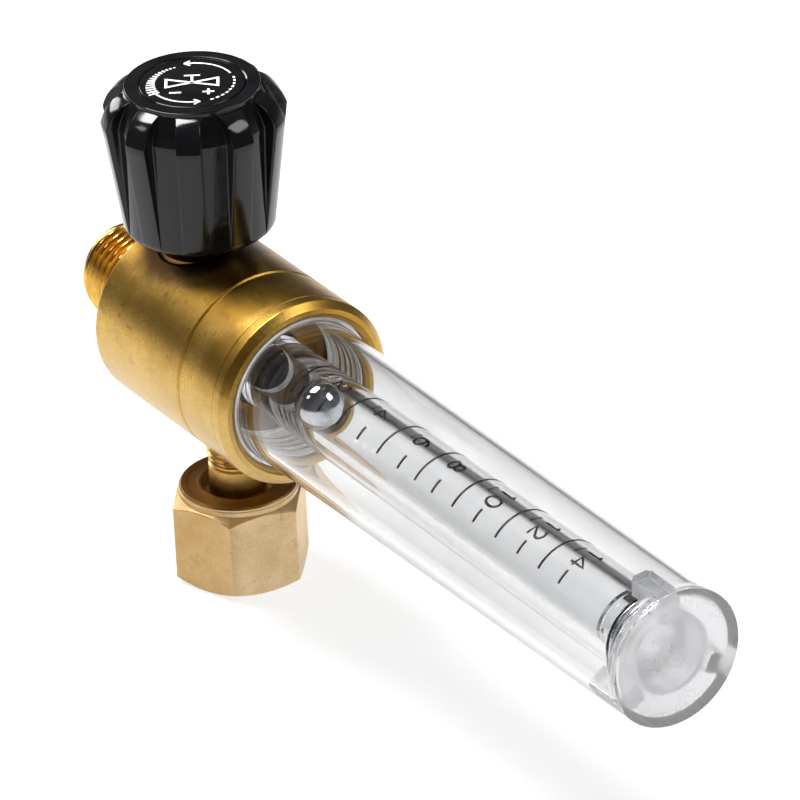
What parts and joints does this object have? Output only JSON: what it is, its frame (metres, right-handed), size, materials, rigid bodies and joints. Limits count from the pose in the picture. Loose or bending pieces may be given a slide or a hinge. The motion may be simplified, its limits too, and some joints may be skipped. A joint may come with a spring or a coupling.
{
  "type": "shielding gas flowmeter",
  "caption": "Shielding gas flowmeter with a knob-turned needle valve, a ball in a clear metering tube, a threaded outlet and a loose union nut.",
  "frame": {"origin": "centre of the part's bounding box in plan, at the level of the union nut's rim, on which the part stands", "axes": "+X along the metering tube towards its closed end, +Z along the knob's axis away from the body, +Y across; in service +X points up, so that the ball's height reads the flow"},
  "size_m": [0.148, 0.03, 0.0811],
  "materials": {
    "body_brass": "turned, satin, lightly specked and tarnished",
    "stem_brass": "turned, satin",
    "nut_brass": "blasted, matte, with turned ends",
    "knob_black": "moulded, glossy",
    "clear_plastic": "clear, polished",
    "ball_steel": "polished",
    "steel": "drawn and ground",
    "black_rubber": "moulded, matte",
    "seal_nylon": "turned, matte",
    "gasket_copper": "annealed copper sheet, matte",
    "filter_bronze": "sintered, rough"
  },
  "bodies": {
    "body": {"valve_body": "body_brass", "valve_seat": "seal_nylon", "bonnet_gasket": "gasket_copper", "bonnet": "body_brass", "inlet_stem": "stem_brass", "inlet_filter": "filter_bronze", "filter_clip": "steel", "tube_seat": "black_rubber", "metering_tube": "clear_plastic", "ball_stop": "clear_plastic", "retaining_spring": "steel", "cover_tube": "clear_plastic", "cover_oring": "black_rubber"},
    "needle_carrier": {"needle": "steel"},
    "knob_and_spindle": {"knob": "knob_black", "knob_cap": "knob_black", "knob_screw": "steel", "knob_insert": "stem_brass", "spindle": "stem_brass", "spindle_oring": "black_rubber"},
    "nut_slider": {"nut_slip_washer": "seal_nylon"},
    "nut": {"union_nut": "nut_brass"},
    "ball": {"float_ball": "ball_steel"}
  },
  "joints": [
    {"name": "spindle_lift", "type": "slide", "parent": "body", "child": "needle_carrier", "axis": [0, 0, 1], "range_m": [0, 0.002]},
    {"name": "knob_turn", "type": "hinge", "parent": "needle_carrier", "child": "knob_and_spindle", "pos_m": [-0.0497, 0, 0.06945], "axis": [0, 0, 1], "range_deg": [0, 720]},
    {"name": "nut_slide", "type": "slide", "parent": "body", "child": "nut_slider", "axis": [0, 0, 1], "range_m": [0, 0.009]},
    {"name": "nut_spin", "type": "hinge", "parent": "nut_slider", "child": "nut", "pos_m": [-0.0432, 0, 0.007], "axis": [0, 0, 1], "continuous": true},
    {"name": "ball_float", "type": "slide", "parent": "body", "child": "ball", "axis": [1, 0, 0], "range_m": [-0.0101, 0.0749]}
  ],
  "couplings": [
    {"joint": "knob_turn", "follows": "spindle_lift", "rad_per_m": 6283.2}
  ]
}
